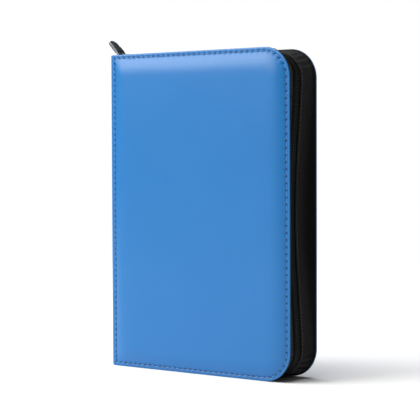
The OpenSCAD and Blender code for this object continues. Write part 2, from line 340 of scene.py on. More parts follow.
def make_piece(name, shape, look, sharp_deg=40, attributes=None, cloth=None):
    """A mesh object from (points, faces) in millimetres, with edges over the given angle kept sharp."""
    points, faces = shape
    mesh = bpy.data.meshes.new(name)
    mesh.from_pydata((np.asarray(points, float) * MM).tolist(), [], [list(f) for f in faces])
    for key, values in (attributes or {}).items():
        layer = mesh.attributes.new(key, "FLOAT", "POINT")
        layer.data.foreach_set("value", np.asarray(values, np.float32))
    if cloth is not None:
        layer = mesh.attributes.new("cloth", "FLOAT_VECTOR", "POINT")
        layer.data.foreach_set("vector", (np.asarray(cloth, np.float32) * MM).ravel())
    b = bmesh.new()
    b.from_mesh(mesh)
    bmesh.ops.recalc_face_normals(b, faces=b.faces)
    limit = math.radians(sharp_deg)
    for face in b.faces:
        face.smooth = True
    for edge in b.edges:
        edge.smooth = not (len(edge.link_faces) == 2 and edge.calc_face_angle(0) > limit)
    b.to_mesh(mesh)
    b.free()
    mesh.materials.append(MAT[look])
    piece = bpy.data.objects.new(name, mesh)
    link(piece)
    return piece


def add_piece(name, shape, look, body, slot, node=None, **settings):
    """Makes a piece, rides it on its body and hides the CAD node it stands for; slot is not used."""
    piece = make_piece(name, shape, look, **settings)
    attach(piece, body)
    if node:
        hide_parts(node)
    return piece


def grid_faces(rows, columns, start=0):
    """Quads between closed rows of points laid one after another."""
    return [(start + r * columns + c, start + r * columns + (c + 1) % columns,
             start + (r + 1) * columns + (c + 1) % columns, start + (r + 1) * columns + c)
            for r in range(rows - 1) for c in range(columns)]


def directions(points):
    """Unit vectors along a line of points."""
    along = np.gradient(points, axis=0)
    return along / np.linalg.norm(along, axis=1, keepdims=True)


def solid_sweep(rows):
    """Points and faces of a closed section carried along rows, with both ends capped."""
    rows = np.asarray(rows, float)
    count, section = rows.shape[:2]
    faces = grid_faces(count, section)
    faces.append(tuple(range(section))[::-1])
    faces.append(tuple(range((count - 1) * section, count * section)))
    return rows.reshape(-1, 3), faces


def tube(points, radii, sides, up):
    """A closed round tube along points; up is a vector, or one per point, that the section turns about."""
    points = np.asarray(points, float)
    along = directions(points)
    across = np.cross(along, np.broadcast_to(np.asarray(up, float), points.shape))
    across /= np.linalg.norm(across, axis=1, keepdims=True)
    over = np.cross(across, along)
    angles = 2 * np.pi * np.arange(sides) / sides
    radii = np.broadcast_to(np.asarray(radii, float), len(points))[:, None, None]
    rings = points[:, None] + radii * (np.cos(angles)[None, :, None] * across[:, None]
                                       + np.sin(angles)[None, :, None] * over[:, None])
    return solid_sweep(rings)


def joined(parts):
    """Several (points, faces) pairs as one."""
    points, faces, start = [], [], 0
    for part_points, part_faces in parts:
        points.append(part_points)
        faces += [tuple(i + start for i in f) for f in part_faces]
        start += len(part_points)
    return np.concatenate(points), faces


def noise_at(x, y, z, size):
    return noise.noise(Vector((x / size, y / size, z / size)))


# -------- cover outline

N_TOP, N_ARC, N_RIGHT = 240, 48, 312
N_LEFT = N_RIGHT + N_ARC
LOOP = 2 * N_TOP + 2 * N_ARC + N_RIGHT + N_LEFT
COARSE = 8
STITCHES = [(N_TOP, 29), (N_ARC, 6), (N_RIGHT, 39), (N_ARC, 6), (N_TOP, 29), (N_LEFT, 56)]


def spine_side(inset):
    """X of a loop's spine side: the border is narrower there, because the leather runs on into the fold."""
    border = (SEAM_X - X_COVER) / SEAM
    return np.where(inset <= SEAM, X_COVER + border * inset, SEAM_X + inset - SEAM)


def cover_loop(inset):
    """Points (x, z) of a closed loop drawn in from the cover's edge, from the head of the spine side."""
    x0, z0, z1 = float(spine_side(inset)), inset, HEIGHT - inset
    r = CORNER_R - inset
    top = np.linspace(x0, X_ARC, N_TOP, endpoint=False)
    right = np.linspace(HEIGHT - CORNER_R, CORNER_R, N_RIGHT, endpoint=False)
    left = np.linspace(z0, z1, N_LEFT, endpoint=False)
    turn = np.pi / 2 * np.arange(N_ARC) / N_ARC
    pieces = [
        (top, np.full(N_TOP, z1)),
        (X_ARC + r * np.sin(turn), HEIGHT - CORNER_R + r * np.cos(turn)),
        (np.full(N_RIGHT, X_FORE - inset), right),
        (X_ARC + r * np.cos(turn), CORNER_R - r * np.sin(turn)),
        (np.linspace(X_ARC, x0, N_TOP, endpoint=False), np.full(N_TOP, z0)),
        (np.full(N_LEFT, x0), left),
    ]
    return np.concatenate([np.column_stack(p) for p in pieces])


def stitch_numbers():
    """Place of each loop point along the border seam, counted in stitches."""
    out, done = [], 0
    for count, stitches in STITCHES:
        out.append(done + stitches * np.arange(count) / count)
        done += stitches
    return np.concatenate(out), done


def lengths_along(loop):
    """Length along a closed loop to each of its points, and back to the first."""
    return np.append(0, np.cumsum(np.linalg.norm(np.roll(loop, -1, 0) - loop, axis=1)))


STITCH_AT, STITCH_COUNT = stitch_numbers()
ON_SPINE_SIDE = np.arange(LOOP) > LOOP - N_LEFT
SEAM_LOOP = cover_loop(SEAM)
STITCH_LENGTH = np.linalg.norm(np.roll(SEAM_LOOP, -1, 0) - SEAM_LOOP, axis=1) / (
    np.diff(np.append(STITCH_AT, STITCH_COUNT)))


def edge_distances(x, z):
    """Distances of points on the cover from its three free edges and from its spine side."""
    x, z = np.asarray(x, float), np.asarray(z, float)
    nearest = np.minimum(np.minimum(X_FORE - x, HEIGHT - z), z)
    cx, cz = np.maximum(x - X_ARC, 0), np.maximum(np.abs(z - HEIGHT / 2) - HEIGHT / 2 + CORNER_R, 0)
    in_corner = (cx > 0) & (cz > 0)
    return np.where(in_corner, CORNER_R - np.hypot(cx, cz), nearest), x - SEAM_X + SEAM


def crown(x, z):
    """Height of the padded field over the border: it rises from the seam, softly in the corners."""
    rise = [1 - (1 - np.clip((d - SEAM - 0.1) / CROWN_W, 0, 1)) ** 2.6 for d in edge_distances(x, z)]
    return PAD_RISE * rise[0] * rise[1]


def swell(x, z):
    """Slow unevenness of the padding, none at its edge."""
    free, spine = edge_distances(x, z)
    fade = smooth_step((free - SEAM - 1) / 12) * smooth_step((spine - SEAM - 1) / 12)
    waves = [0.16 * noise_at(a, 3.1, b, 55) + 0.05 * noise_at(a, 9.7, b, 17) for a, b in zip(x, z)]
    return fade * waves


def border_heights(inset):
    """Heights over the border plane along one loop, with the seam groove, needle holes and puckers, and how much
    painted shade each point gets: dark in the seam groove and the needle holes.
    """
    beat = np.abs(STITCH_AT - np.round(STITCH_AT))
    hole_away = np.hypot(beat * STITCH_LENGTH, inset - SEAM - 0.15)
    hole = np.exp(-(hole_away / 0.85) ** 2)
    groove = math.exp(-((inset - SEAM) / 0.6) ** 2)
    pucker = np.sin(np.pi * np.clip(beat * 2, 0, 1) / 2) ** 2
    ripple = 0.16 * math.exp(-((inset - SEAM - 1.3) / 1.1) ** 2) + 0.07 * math.exp(-((inset - SEAM + 1.2) / 0.8) ** 2)
    loop = cover_loop(inset)
    heights = crown(*loop.T) - 0.22 * groove - 0.45 * hole + ripple * (pucker - 0.5)
    heights = heights + 0.06 * math.exp(-((inset - 1.5) / 0.9) ** 2)
    return heights, np.clip(0.45 * groove + hole, 0, 1)


ROLL = [(0.0, -0.6), (0.05, -0.36), (0.2, -0.16), (0.45, -0.04), (0.7, 0.0)]
BORDER = [0.9, 1.2] + [SEAM + step for step in (
    -0.95, -0.7, -0.5, -0.35, -0.2, 0, 0.2, 0.4, 0.65, 0.95, 1.3, 1.75, 2.3, 2.9, 3.6, 4.4, 5.3, 6.3, 7.4, 8.6, 9.9,
    11.3, 12.8, 14.4)]
PATCH_INSET = 20.0


def skin_loops():
    """Fine loops of a cover's outer leather, from its turned-in rim over the edge and up the crown."""
    rows, worn, painted_shade = [], [], []
    for inset, height in [(4.0, -RIM_T), (2.2, -RIM_T - 0.02), (0.9, -1.35), (0.35, -1.1), (0.1, -0.9)] + ROLL:
        loop = cover_loop(inset)
        rim = height < -0.5
        heights = np.where(ON_SPINE_SIDE & (not rim), 0.0, height)
        rows.append(np.column_stack([loop, heights]))
        worn.append(np.full(LOOP, 1.0 if not rim else 0.5) * ~ON_SPINE_SIDE)
        painted_shade.append(np.zeros(LOOP))
    for inset in BORDER:
        loop = cover_loop(inset)
        heights, painted_shade_amount = border_heights(inset)
        rows.append(np.column_stack([loop, heights + swell(*loop.T)]))
        worn.append(np.full(LOOP, math.exp(-(inset / 1.2) ** 2)) * ~ON_SPINE_SIDE)
        painted_shade.append(painted_shade_amount)
    return np.array(rows), np.concatenate(worn), np.concatenate(painted_shade)


def coarse_loop(inset, height):
    """A loop with every eighth point, at one height or at the heights that a function of x and z gives."""
    loop = cover_loop(inset)[::COARSE]
    heights = height(*loop.T) if callable(height) else np.full(len(loop), height)
    return np.column_stack([loop, heights])


def stepping_faces(fine_start, coarse_start):
    """Faces between a fine loop and one with every eighth point."""
    count = LOOP // COARSE
    faces = []
    for i in range(count):
        fine = [fine_start + (i * COARSE + k) % LOOP for k in range(COARSE + 1)]
        faces.append((*fine, coarse_start + (i + 1) % count, coarse_start + i))
    return faces


def patch(loop, height):
    """Inner points of a four-sided patch that fills a coarse loop, and its faces as a function of its start."""
    across = (N_TOP + N_ARC // 2) // COARSE
    down = N_LEFT // COARSE
    count = len(loop)
    index = {}
    for i in range(across + 1):
        index[i, 0] = i
        index[i, down] = across + down + across - i
    for j in range(down + 1):
        index[across, j] = across + j
        index[0, j] = (count - j) % count
    plan = loop[:, :2]
    inner = []
    for j in range(1, down):
        for i in range(1, across):
            u, v = i / across, j / down
            top, bottom = plan[index[i, 0]], plan[index[i, down]]
            left, right = plan[index[0, j]], plan[index[across, j]]
            corners = ((1 - u) * (1 - v) * plan[index[0, 0]] + u * (1 - v) * plan[index[across, 0]]
                       + (1 - u) * v * plan[index[0, down]] + u * v * plan[index[across, down]])
            index[i, j] = count + len(inner)
            inner.append((1 - v) * top + v * bottom + (1 - u) * left + u * right - corners)
    inner = np.array(inner)
    inner = np.column_stack([inner, height(*inner.T)])
    faces = [(index[i, j], index[i + 1, j], index[i + 1, j + 1], index[i, j + 1])
             for i in range(across) for j in range(down)]
    return inner, faces


def field(drop):
    """Height of the padded field, lowered by a drop, as a function of x and z."""
    return lambda x, z: crown(x, z) + swell(x, z) - drop


def add_patch(rows, faces, loop_start, inner_start, loop, height):
    """Fills a coarse loop that is already among the points, and tells how many points that adds."""
    inner, quads = patch(loop, height)
    count = len(loop)
    rows.append(inner)
    faces += [tuple(loop_start + k if k < count else inner_start + k - count for k in q) for q in quads]
    return len(inner)


def cover_points(plan_heights, side):
    """Points (x, z, height) as points in space on the front or back cover."""
    p = np.asarray(plan_heights, float)
    return np.column_stack([p[:, 0], side * (Y_EDGE + p[:, 2]), p[:, 1]])


def make_skin(side, name):
    """Outer leather of a cover: a shell with a rolled edge, sewn border and padded crown."""
    fine, worn, painted_shade = skin_loops()
    rows = [fine.reshape(-1, 3)]
    faces = grid_faces(len(fine), LOOP)
    at = fine.shape[0] * LOOP
    outer = coarse_loop(PATCH_INSET, field(0))
    rows.append(outer)
    faces += stepping_faces(at - LOOP, at)
    outer_start, at = at, at + len(outer)
    at += add_patch(rows, faces, outer_start, at, outer, field(0))
    inside = [(4.05, -0.8), (5.2, -0.6)] + [(q, field(LEATHER_T)) for q in (7.5, 10.0, 14.0, PATCH_INSET)]
    loops = [coarse_loop(q, h) for q, h in inside]
    faces += stepping_faces(0, at)
    faces += grid_faces(len(loops), len(loops[0]), start=at)
    rows += loops
    inner_start = at + (len(loops) - 1) * len(loops[0])
    at += len(loops) * len(loops[0])
    add_patch(rows, faces, inner_start, at, loops[-1], field(LEATHER_T))
    points = cover_points(np.concatenate(rows), side)
    spare = np.zeros(len(points) - len(worn))
    # worn lightens the rubbed edges; the second mark is painted shade in the seam groove and the needle holes
    marks = {"worn": np.append(worn, spare), "painted_shade": np.append(painted_shade, spare)}
    piece = add_piece(f"{name}_cover_skin", (points, faces), "leather", f"{name}_cover", "cover_leather",
                      f"{name}_cover_leather", sharp_deg=50, attributes=marks)


def closed_pad(shape, near, far, side):
    """A closed form on a cover from coarse loops: its last loop is filled at heights near, its first at far."""
    loops = [coarse_loop(q, h) for q, h in shape]
    rows, count = list(loops), len(loops[0])
    faces = grid_faces(len(loops), count)
    at = len(loops) * count
    at += add_patch(rows, faces, at - count, at, loops[-1], near)
    add_patch(rows, faces, 0, at, loops[0], lambda x, z: np.full(len(x), far))
    return cover_points(np.concatenate(rows), side), faces


def make_padding(side, name):
    """Foam under the leather, with the crown's own shape."""
    gap = LEATHER_T + 0.05
    shape = [(6.8, -0.2), (7.1, -0.1)] + [(q, field(gap)) for q in (8.0, 9.5, 12.0, 15.0, PATCH_INSET)]
    piece = add_piece(f"{name}_cover_padding", closed_pad(shape, field(gap), -0.2, side), "foam", f"{name}_cover",
                      "padding", f"{name}_cover_foam")


def make_lining(side, name):
    """Black cloth that lines a cover, with a rolled edge and a little life in its surface."""
    depth = Y_EDGE - Y_LINING

    def inner_height(x, z):
        return np.array([-depth - 0.06 * noise_at(a, 21.0 + side, b, 30) for a, b in zip(x, z)])

    shape = [(1.6, -RIM_T), (1.1, -RIM_T - 0.1), (1.0, -RIM_T - 0.3), (1.15, -depth + 0.08), (1.6, -depth),
             (4.5, -depth), (10.0, -depth), (PATCH_INSET, -depth)]
    add_piece(f"{name}_cover_lining_cloth", closed_pad(shape, inner_height, -RIM_T, side), "lining",
              f"{name}_cover", "lining", f"{name}_cover_lining")


def stitch_paths(pitch_gap, lift, slant):
    """Short arched paths along the border seam, one between each pair of needle holes."""
    length = lengths_along(SEAM_LOOP)
    holes = np.interp(np.arange(STITCH_COUNT + 1), np.append(STITCH_AT, STITCH_COUNT), length)
    closed = np.vstack([SEAM_LOOP, SEAM_LOOP[:1]])
    paths = []
    for a, b in zip(holes[:-1], holes[1:]):
        s = np.linspace(a + pitch_gap, b - pitch_gap, 6)
        x = np.interp(s, length, closed[:, 0])
        z = np.interp(s, length, closed[:, 1])
        t = np.linspace(-1, 1, 6)
        tangent = np.array([x[-1] - x[0], z[-1] - z[0]])
        tangent /= np.linalg.norm(tangent)
        x, z = x - tangent[1] * slant * t, z + tangent[0] * slant * t
        paths.append(np.column_stack([x, z, lift * (1 - t ** 4) - 0.22 * t ** 4 - 0.08]))
    return paths


def make_border_seam(side, name):
    """Blue thread round a cover's border, stitch by stitch, and black thread on the lining behind it."""
    parts = [tube(cover_points(path, side), [0.16, 0.27, 0.29, 0.29, 0.27, 0.16], 6, (0, side, 0))
             for path in stitch_paths(0.62, 0.2, 0.16)]
    add_piece(f"{name}_border_stitches", joined(parts), "blue_thread", f"{name}_cover", "blue_thread",
              f"{name}_cover_stitching", sharp_deg=60)
    parts = []
    for path in stitch_paths(0.3, 0.16, -0.1):
        path[:, 2] = -(Y_EDGE - Y_LINING) - path[:, 2]
        parts.append(tube(cover_points(path, side), [0.12, 0.22, 0.24, 0.24, 0.22, 0.12], 5, (0, side, 0)))
    add_piece(f"{name}_lining_stitches", joined(parts), "black_thread", f"{name}_cover", "black_thread",
              sharp_deg=60)


# -------- spine and folds

def turned_section(inner_rim):
    """Half of a leather strip's section across its height: (distance from the nearer end, depth)."""
    return [(60.0, 0.0), (12.0, 0.0), (3.0, 0.0), (0.9, 0.0), (0.6, 0.02), (0.3, 0.14), (0.1, 0.4), (0.0, 0.75),
            (0.0, 1.2), (0.2, inner_rim - 0.18), (0.7, inner_rim), (6.0, inner_rim), (6.3, LEATHER_T),
            (60.0, LEATHER_T)]


def leather_strip(path, normals, rims, dips):
    """A leather strip that runs the spine's height, swept along a path across it: (x, y) and outward normals."""
    rows = []
    for (x, y), (nx, ny), rim, dip in zip(path, normals, rims, dips):
        half = turned_section(rim)
        ring = [(x - nx * d, y - ny * d, HEIGHT - dip - e) for e, d in half]
        ring += [(x - nx * d, y - ny * d, dip + e) for e, d in reversed(half)]
        rows.append(ring)
    return solid_sweep(rows)


CREASE_Y = Y_SPINE - 0.7
HEAD_DIP, HEAD_ROUND_W = 1.0, 2.6   # the binder's corners at the spine are rounded off a little


def make_fold(side, name):
    """Leather that bends from a cover round to the crease in the spine."""
    centre = np.array([X_SPINE + FOLD_R, side * Y_SPINE])
    path, normals = [(X_COVER, side * Y_EDGE)], [(0.0, side)]
    for a in np.linspace(90, 180, 15):
        direction = np.array([math.cos(math.radians(a)), side * math.sin(math.radians(a))])
        path.append(centre + FOLD_R * direction)
        normals.append(direction)
    for y, drop in ((Y_SPINE - 0.3, 0.0), (CREASE_Y + 0.15, 0.06), (CREASE_Y, 0.28)):
        path.append((X_SPINE + drop, side * y))
        normals.append((-1.0, 0.0))
    count = len(path)
    across = np.clip((np.array([x for x, _ in path]) - X_SPINE) / HEAD_ROUND_W, 0, 1)
    dips = HEAD_DIP * (1 - np.sqrt(1 - (1 - across) ** 2))
    dips[-3:] = HEAD_DIP
    rims = np.full(count, RIM_T - 0.1)
    points, faces = leather_strip(path, normals, rims, dips)
    wear = np.exp(-((np.arange(count) - count / 2) / 3.5) ** 2)
    section = len(points) // count
    marks = {"worn": np.repeat(0.35 * wear, section), "painted_shade": np.zeros(len(points))}
    piece = make_piece(f"{name}_hinge_fold", (points, faces), "leather", 50, marks)
    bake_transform(piece)
    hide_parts(f"{name}_hinge_leather")


def make_hinge_lining(side, name):
    """Cloth inside a fold, in one shape: slack in the gutter as when the binder is closed, then flat under the lining.
    """
    x_in = -X_SPINE
    bend = [(x_in + 0.12, -2.8), (x_in + 0.14, -1.4), (x_in + 0.1, -0.5), (0.75, 0.3), (0.45, 1.0), (0.75, 1.75),
            (1.5, 1.95), (2.3, 1.6), (2.9, 0.95)]
    flat = [(3.7, Y_LINING - 0.12), (4.8, Y_LINING - 0.14), (6.4, Y_LINING - 0.12)]
    control = np.array([(x, Y_SPINE + e) for x, e in bend] + flat)
    path = smooth_profile(control, 40, 3)
    tangent = directions(path)
    normal = np.column_stack([tangent[:, 1], -tangent[:, 0]])
    thick, margin = 0.22, 1.6
    levels = np.linspace(margin, HEIGHT - margin, 25)
    faces = ((thick / 2, levels), (-thick / 2, levels[::-1]))
    rows = [[(x + nx * offset, side * (y + ny * offset), z) for offset, heights in faces for z in heights]
            for (x, y), (nx, ny) in zip(path, normal)]
    piece = make_piece(f"{name}_hinge_cloth", solid_sweep(rows), "lining")
    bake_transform(piece)


def make_spine():
    """Outer leather of the spine between the two pressed creases, thinner where the slider parks."""
    ys = [CREASE_Y, CREASE_Y - 0.15, CREASE_Y - 0.5, CREASE_Y - 1.2, *np.linspace(CREASE_Y - 2.5, 0, 10)]
    ys = np.array([-y for y in ys] + ys[:-1][::-1])
    drops = np.interp(np.abs(ys), [0, CREASE_Y - 1.2, CREASE_Y - 0.5, CREASE_Y - 0.15, CREASE_Y],
                      [-0.35, -0.1, 0.0, 0.06, 0.28])
    drops = np.where(np.abs(ys) < CREASE_Y - 1.2, -0.35 + 0.25 * (ys / CREASE_Y) ** 2, drops)
    path = [(X_SPINE + d, y) for d, y in zip(drops, ys)]
    parked = (ys > ZIP_Y - 6.2) & (ys < ZIP_Y + 6.2)
    rims = np.where(parked, LEATHER_T + 0.02, RIM_T)
    points, faces = leather_strip(path, [(-1.0, 0.0)] * len(ys), rims, np.full(len(ys), HEAD_DIP))
    marks = {key: np.zeros(len(points)) for key in ("worn", "painted_shade")}
    add_piece("spine_skin", (points, faces), "leather", "spine", "cover_leather", "spine_leather",
              sharp_deg=50, attributes=marks)


def make_head_lining():
    """Cloth on the leather where the spine's board is cut away for the parked slider."""
    low, high = ZIP_Y - 5.45, ZIP_Y + 5.45
    corners = rounded_box(low, high, HEIGHT - 9, HEIGHT - 1.4, 0.4, 2)
    x = X_SPINE + LEATHER_T + 0.02
    points, faces = flat_sheet(corners, x, x + 0.12)
    add_piece("spine_head_cloth", (points[:, [1, 0, 2]], faces), "lining", "spine", "lining")


# -------- gusset and zip

class Edge:
    """The line round the cover's three open sides, sampled evenly, with the gusset's sag and drift."""

    def __init__(self, x_start, step):
        run, fore = X_ARC - x_start, HEIGHT - 2 * CORNER_R
        arc = CORNER_R * math.pi / 2
        self.length = total = 2 * run + 2 * arc + fore
        self.s = s = np.linspace(0, total, int(total / step) + 1)
        marks = np.cumsum([run, arc, fore, arc])
        a1 = np.clip((s - marks[0]) / arc, 0, 1)
        a2 = np.clip((s - marks[2]) / arc, 0, 1)
        turn = (a1 + a2) * math.pi / 2
        self.nx, self.nz = -np.sin(turn), -np.cos(turn)
        top = np.clip(s, 0, run)
        down = np.clip(s - marks[1], 0, fore)
        back = np.clip(s - marks[3], 0, run)
        self.x = x_start + top + CORNER_R * np.sin(np.minimum(turn, math.pi / 2)) - back
        self.x = self.x - np.where(a2 > 0, CORNER_R * (1 - np.sin(turn)), 0)
        self.z = HEIGHT - CORNER_R + CORNER_R * np.cos(np.minimum(turn, math.pi / 2)) - down
        self.z = self.z - np.where(a2 > 0, -CORNER_R * np.cos(turn), 0)
        share = np.clip((s - marks[1]) / fore, 0, 1)
        self.sag = GUSSET_SAG * np.sin(np.pi * share) ** 1.5
        self.drift = ZIP_DRIFT * smooth_step(a1) * (1 - back / run)
        self.corner = np.sin(np.pi * a1) + np.sin(np.pi * a2)

    def at(self, s, y, depth):
        """Points at places s along the line, at a rest y and a depth below the cover's edge."""
        x, z, nx, nz, sag, drift = [
            np.interp(s, self.s, v) for v in (self.x, self.z, self.nx, self.nz, self.sag, self.drift)]
        slack = np.clip(1 - (np.abs(y) / Y_LINING) ** 4, 0, 1)
        d = depth + sag * slack
        return np.stack([x + nx * d, y + drift * slack, z + nz * d], axis=-1)


def creases(edge, s, y, y_from, y_to):
    """How far the gusset cloth moves in at a place: puckers round the corners, long soft ripples between."""
    u = (y - y_from) / (y_to - y_from)
    envelope = np.sin(np.pi * np.clip(u, 0, 1)) ** 0.8
    corner = np.interp(s, edge.s, edge.corner)
    out = np.zeros_like(s)
    for i, (place_s, bend) in enumerate(zip(s, corner)):
        lean = place_s + 2.5 * u
        soft = noise_at(lean, 40.0 + u * 6, 0.0, 24) * 0.75 + noise_at(lean, 80.0 + u * 9, 0.0, 9) * 0.3
        pucker = math.sin(lean * 2 * math.pi / 6.4 + 1.5 * noise_at(lean, 7.0, 0.0, 15)) * 0.55
        out[i] = envelope * (0.5 * soft + bend * pucker)
    return out


def cloth_band(edge, profile, thickness):
    """A cloth band along the edge line. profile is a list of (y, depth) across it."""
    ys = np.array([p[0] for p in profile])
    low, high = ys.min(), ys.max()
    outer, inner = [], []
    for y, depth in profile:
        move = creases(edge, edge.s, y, low, high)
        outer.append(edge.at(edge.s, y, depth + move))
        inner.append(edge.at(edge.s, y, depth + move + thickness))
    rows = np.stack(outer + inner[::-1], axis=1)
    return solid_sweep(rows), cloth_directions(edge, ys)


def cloth_directions(edge, ys):
    """For each point of a band, its place along and across the cloth, and which face it is on."""
    both = np.append(ys, ys[::-1])
    along, across = np.meshgrid(edge.s, both, indexing="ij")
    face = np.broadcast_to(np.arange(len(both)) // len(ys), along.shape)
    return np.stack([along, across, face], axis=-1).reshape(-1, 3)


def smooth_profile(control, count, passes=2):
    """Points evenly spread along a line through the control points, with its corners smoothed."""
    control = np.array(control, float)
    t = np.linspace(0, len(control) - 1, count)
    path = np.column_stack([np.interp(t, range(len(control)), control[:, k]) for k in (0, 1)])
    for _ in range(passes):
        path[1:-1] = (path[:-2] + 2 * path[1:-1] + path[2:]) / 4
    return path


GUSSET_START, TAPE_START, COIL_START = 2.7, 2.2, 4.4
GUSSET_STEP, TAPE_STEP, COIL_STEP = 1.1, 1.6, 0.8
CLOTH_T = 0.6
TAPE_HALF, TAPE_SLIT = 7.0, 0.75    # from the zip's middle to the tape's outer and inner edges
SEAM_FROM_ZIP, SEAM_DEPTH, SEAM_PITCH = 6.2, 3.25, 3.0
WELT = [(0.95, 0.85), (1.0, 0.3), (1.3, 0.02), (1.8, -0.04), (2.3, 0.12), (2.7, 0.6)]
FRONT_WALL = [(e - Y_EDGE, d) for e, d in WELT + [(3.6, 1.7), (4.8, 2.6), (6.0, 3.1)]] + [(ZIP_Y - 4.8, 3.35)]
BACK_WALL = [(ZIP_Y + 4.8, 3.35), (2.0, 3.2), (5.0, 2.9), (8.0, 2.4), (11.0, 1.9)]
BACK_WALL += [(Y_EDGE - e, d) for e, d in [(3.6, 1.2)] + WELT[::-1]]
WALLS = {FRONT: FRONT_WALL, BACK: BACK_WALL}


def make_gusset(side, name):
    """Black cloth wall from the cover's edge to the zip, with a welt at the edge."""
    edge = Edge(GUSSET_START, GUSSET_STEP)
    profile = smooth_profile(WALLS[side], 2 * len(WALLS[side]))
    band, cloth = cloth_band(edge, profile, CLOTH_T)
    piece = add_piece(f"{name}_gusset_cloth", band, "gusset", f"{name}_cover", "gusset_fabric", f"{name}_gusset",
                      cloth=cloth)
    make_gusset_seam(side, name, edge)


def make_gusset_seam(side, name, edge):
    """Top-stitching that holds the gusset's folded edge to the zip tape."""
    y = ZIP_Y + side * SEAM_FROM_ZIP
    wall = [p[0] for p in WALLS[side]]
    parts = []
    for k in range(int(edge.length / SEAM_PITCH)):
        s = np.linspace(k * SEAM_PITCH + 0.25, (k + 1) * SEAM_PITCH - 0.25, 5)
        t = np.linspace(-1, 1, 5)
        lift = 0.22 * (1 - t ** 4) - 0.12 * t ** 4
        path = edge.at(s, np.full(5, y), SEAM_DEPTH + creases(edge, s, y, min(wall), max(wall)) - lift)
        nx, nz = np.interp(s[2], edge.s, edge.nx), np.interp(s[2], edge.s, edge.nz)
        parts.append(tube(path, [0.1, 0.19, 0.21, 0.19, 0.1], 5, (-nx, 0, -nz)))
    add_piece(f"{name}_gusset_stitches", joined(parts), "black_thread", f"{name}_cover", "black_thread",
              sharp_deg=60)


def make_tape(side, name):
    """Zip tape, from under the gusset's edge to the middle of the zip."""
    edge = Edge(TAPE_START, TAPE_STEP)
    ys = np.linspace(ZIP_Y + side * TAPE_HALF, ZIP_Y + side * TAPE_SLIT, 6)
    outer = [edge.at(edge.s, np.full_like(edge.s, y), TAPE_DEPTH) for y in ys]
    inner = [edge.at(edge.s, np.full_like(edge.s, y), TAPE_DEPTH + CLOTH_T) for y in ys[::-1]]
    add_piece(f"{name}_tape_cloth", solid_sweep(np.stack(outer + inner, axis=1)), "tape", f"{name}_cover",
              "zip_tape", f"{name}_zip_tape", cloth=cloth_directions(edge, ys))


def make_coil(side, name):
    """Half of the coil: one long nylon wire wound into a flat helix that meshes with the other half."""
    edge = Edge(COIL_START, COIL_STEP)
    per_turn = 12
    turns = int((edge.length - 2) / COIL_PITCH)
    theta = 2 * np.pi * np.arange(turns * per_turn) / per_turn
    s = 1 + COIL_PITCH * theta / (2 * np.pi) + (COIL_PITCH / 2 if side == BACK else 0)
    overlap, wire = 0.4, 0.31
    middle, half = (COIL_OUT - overlap) / 2, (COIL_OUT + overlap) / 2 - wire
    y = ZIP_Y + side * (middle + half * np.cos(theta))
    depth = TAPE_DEPTH - COIL_H / 2 - (COIL_H / 2 - wire) * np.sin(theta)
    path = edge.at(s, y, depth)
    along = edge.at(s + 0.5, y, depth) - path
    add_piece(f"{name}_coil_wire", tube(path, wire, 6, along), "coil", f"{name}_cover", "zip_coil",
              f"{name}_zip_coil", sharp_deg=60)


# -------- slider and pull

def plate(outline, z0, z1, bevel):
    """A flat plate from an outline, with its top and bottom edges bevelled."""
    b = bmesh.new()
    corners = [b.verts.new((x, y, z0)) for x, y in outline]
    face = b.faces.new(corners)
    made = bmesh.ops.extrude_face_region(b, geom=[face])
    moved = [v for v in made["geom"] if isinstance(v, bmesh.types.BMVert)]
    bmesh.ops.translate(b, verts=moved, vec=(0, 0, z1 - z0))
    bmesh.ops.recalc_face_normals(b, faces=b.faces)
    rim = [e for e in b.edges if abs(e.verts[0].co.z - e.verts[1].co.z) < 1e-6]
    bmesh.ops.bevel(b, geom=rim, offset=bevel, segments=3, profile=0.6, affect="EDGES", clamp_overlap=True)
    points = np.array([v.co for v in b.verts], float)
    b.verts.index_update()
    faces = [tuple(v.index for v in f.verts) for f in b.faces]
    b.free()
    return points, faces


def rounded(corners, radius, steps=5):
    """A polygon with each corner rounded."""
    out = []
    count = len(corners)
    for i, corner in enumerate(corners):
        c = Vector(corner)
        a, b = Vector(corners[i - 1]) - c, Vector(corners[(i + 1) % count]) - c
        reach = min(radius, a.length * 0.45, b.length * 0.45)
        p, q = c + a.normalized() * reach, c + b.normalized() * reach
        for k in range(steps + 1):
            t = k / steps
            out.append(tuple((1 - t) ** 2 * p + 2 * t * (1 - t) * c + t * t * q))
    return out


def rounded_box(x0, x1, y0, y1, radius, steps=5):
    return rounded([(x0, y0), (x1, y0), (x1, y1), (x0, y1)], radius, steps)


def shifted(part, offset):
    points, faces = part
    return points + np.array(offset), faces


def turned(part, about, angle):
    """Turns a part about an axis along Y through a point; a positive angle lifts its -X end."""
    points, faces = part
    c, s = math.cos(angle), math.sin(angle)
    local = points - about
    out = np.column_stack([c * local[:, 0] + s * local[:, 2], local[:, 1], -s * local[:, 0] + c * local[:, 2]])
    return out + about, faces


